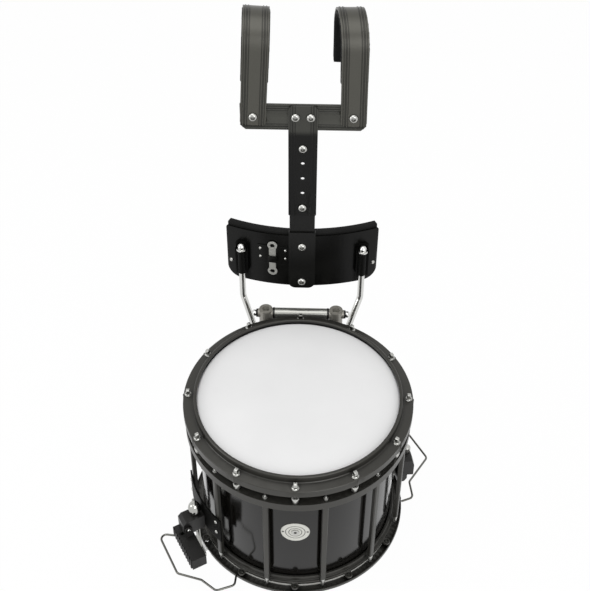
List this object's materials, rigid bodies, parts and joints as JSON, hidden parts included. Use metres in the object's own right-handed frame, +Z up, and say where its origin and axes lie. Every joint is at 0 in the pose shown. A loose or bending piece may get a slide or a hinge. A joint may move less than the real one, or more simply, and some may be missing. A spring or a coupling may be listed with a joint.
{
  "type": "marching snare drum with shoulder carrier",
  "caption": "Marching snare drum in a free-floating strut cage, hung by two J-rods from a shoulder carrier with belly plate, height bars and two arched straps.",
  "frame": {"origin": "on the drum's axis, in the plane of its bottom rim", "axes": "+Z up along the drum's axis, -Y to the front (the side with the vent), +Y towards the wearer, +X to the viewer's right from the front"},
  "size_m": [0.513, 0.5842, 0.8878],
  "materials": {
    "shell_lacquer": "gloss",
    "dark_metal": "satin",
    "black_metal": "satin",
    "chrome": "polished",
    "bright_steel": "satin",
    "film": "matte",
    "strand_wire": "satin",
    "tube_metal": "satin",
    "bracket_metal": "satin",
    "moulded_black": "matte",
    "foam": "matte",
    "badge": "satin"
  },
  "bodies": {
    "drum": {"shell": "shell_lacquer", "batter_head": "film", "snare_head": "film", "top_hoop": "dark_metal", "upper_ring": "dark_metal", "lower_ring": "dark_metal", "bottom_hoop": "dark_metal", "top_tension_rods": "chrome", "receiver_nuts": "chrome", "bottom_tension_bolts": "chrome", "bottom_nuts": "black_metal", "struts": "dark_metal", "strut_tips": "chrome", "strut_studs": "chrome", "badge_plate": "badge", "vent_grommet": "chrome", "strainer_saddle": "dark_metal", "strainer_block": "black_metal", "lever_pin": "chrome", "saddle_screws": "chrome", "butt_saddle": "dark_metal", "butt_block": "black_metal", "strainer_guard": "chrome", "butt_guard": "chrome", "mount_tube": "tube_metal", "mount_arms": "black_metal", "mount_screws": "chrome"},
    "throw_off_lever": {"throw_off_lever": "moulded_black"},
    "snares": {"snare_strands": "strand_wire", "strainer_snare_clamp": "bright_steel", "butt_snare_clamp": "bright_steel"},
    "tension_knob": {"tension_knob": "chrome"},
    "butt_knob": {"butt_knob": "chrome"},
    "mount_eyes": {"sockets": "bracket_metal", "pinch_washers": "black_metal", "pinch_bolts": "chrome", "axle": "bright_steel"},
    "carrier": {"left_j_rod": "chrome", "right_j_rod": "chrome", "rod_guides": "moulded_black", "cap_nuts": "chrome", "belly_plate": "black_metal", "belly_pad": "foam", "belly_bracket": "black_metal", "stem_bar": "black_metal", "bracket_bolts": "chrome", "key_holder": "black_metal", "plate_rivets": "chrome"},
    "upper_harness": {"tee_bar": "black_metal", "cross_bar": "dark_metal", "harness_bolts": "chrome", "strap_bolts": "chrome"},
    "left_strap": {"left_strap": "dark_metal", "left_strap_pad": "foam"},
    "right_strap": {"right_strap": "dark_metal", "right_strap_pad": "foam"},
    "tuning_key": {"tuning_key": "bright_steel"}
  },
  "joints": [
    {"name": "playing_angle", "type": "hinge", "parent": "drum", "child": "mount_eyes", "pos_m": [0, 0.222, 0.298], "axis": [1, 0, 0], "range_deg": [-8, 25]},
    {"name": "drum_release", "type": "slide", "parent": "mount_eyes", "child": "carrier", "axis": [0, 0, -1], "range_m": [0, 0.04]},
    {"name": "harness_height", "type": "slide", "parent": "carrier", "child": "upper_harness", "axis": [0, 0, 1], "range_m": [0, 0.0654]},
    {"name": "left_strap_swing", "type": "hinge", "parent": "upper_harness", "child": "left_strap", "pos_m": [-0.086, 0.2737, 0.711], "axis": [0, -1, 0], "range_deg": [-8, 12]},
    {"name": "right_strap_swing", "type": "hinge", "parent": "upper_harness", "child": "right_strap", "pos_m": [0.086, 0.2737, 0.711], "axis": [0, 1, 0], "range_deg": [-8, 12]},
    {"name": "key_lift", "type": "slide", "parent": "carrier", "child": "tuning_key", "axis": [0, 0, 1], "range_m": [0, 0.012]},
    {"name": "lever_throw", "type": "hinge", "parent": "drum", "child": "throw_off_lever", "pos_m": [-0.19978, -0.11996, 0.098], "axis": [-0.5, 0.866, 0], "range_deg": [0, 70]},
    {"name": "snare_drop", "type": "slide", "parent": "drum", "child": "snares", "axis": [0, 0, -1], "range_m": [0, 0.004]},
    {"name": "tension_turn", "type": "hinge", "parent": "drum", "child": "tension_knob", "pos_m": [-0.18246, -0.10996, 0.125], "axis": [0, 0, 1], "continuous": true},
    {"name": "butt_knob_turn", "type": "hinge", "parent": "drum", "child": "butt_knob", "pos_m": [0.20639, 0.04387, 0.12], "axis": [0, 0, 1], "continuous": true}
  ],
  "couplings": [
    {"joint": "snare_drop", "follows": "lever_throw", "m_per_rad": 0.003274}
  ]
}
